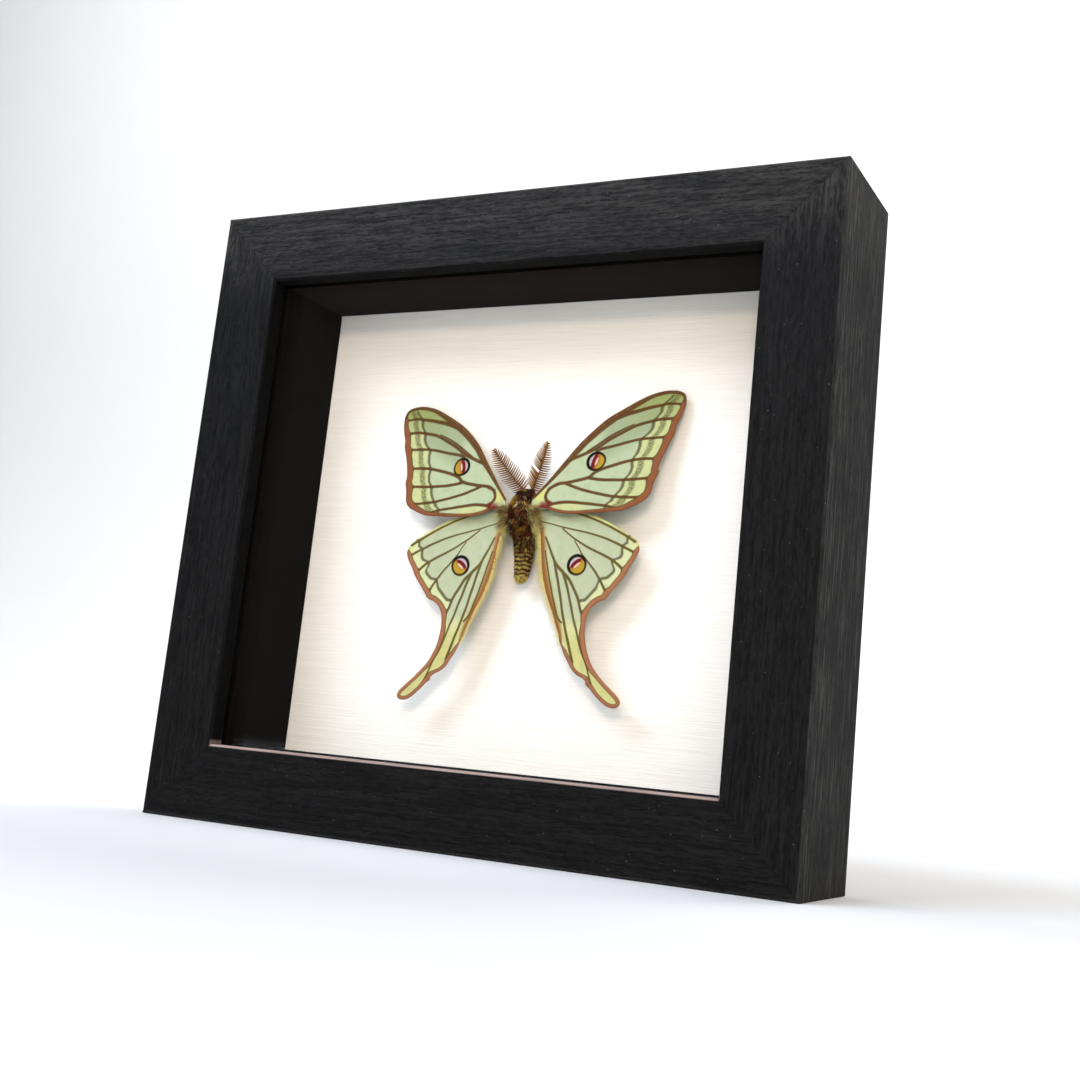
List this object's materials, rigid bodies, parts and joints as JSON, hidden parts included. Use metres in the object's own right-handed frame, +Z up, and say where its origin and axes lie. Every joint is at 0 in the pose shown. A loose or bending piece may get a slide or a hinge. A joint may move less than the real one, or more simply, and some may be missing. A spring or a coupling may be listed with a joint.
{
  "type": "framed moon moth specimen",
  "caption": "Spread moon moth with long hindwing tails and feathered antennae, pinned over white card in a deep black glazed box frame.",
  "frame": {"origin": "middle of the underside of the bottom rail", "axes": "+X along the frame's width to the right as seen from the front, +Y from front to back, +Z up"},
  "size_m": [0.18, 0.0371, 0.165],
  "materials": {
    "stained_wood": "black stained, satin, fine grain",
    "liner": "black, matt",
    "glass": "clear, polished",
    "card": "warm white, fine linen ribs",
    "board": "raw brown fibreboard",
    "steel": "zinc grey",
    "brass": "plated, slightly dulled",
    "fur": "dense dry fur, dark maroon brown with tan hairs",
    "wing": "dry scaled wing, pale green with red-brown veins and eyespots",
    "plume": "dry taupe comb",
    "pin_steel": "bright steel wire"
  },
  "bodies": {
    "root": {"rail_bottom": "stained_wood", "rail_right": "stained_wood", "rail_top": "stained_wood", "rail_left": "stained_wood", "spacer_bottom": "liner", "spacer_right": "liner", "spacer_top": "liner", "spacer_left": "liner", "glass": "glass", "card": "card", "backing_board": "board", "point_bottom_1": "steel", "point_bottom_2": "steel", "point_right_1": "steel", "point_right_2": "steel", "point_top_1": "steel", "point_top_2": "steel", "point_left_1": "steel", "point_left_2": "steel", "hanger": "brass", "nail_left": "brass", "nail_right": "brass", "body": "fur", "forewing_left": "wing", "forewing_right": "wing", "hindwing_left": "wing", "hindwing_right": "wing", "antenna_left": "plume", "antenna_right": "plume", "pin": "pin_steel"}
  },
  "joints": []
}
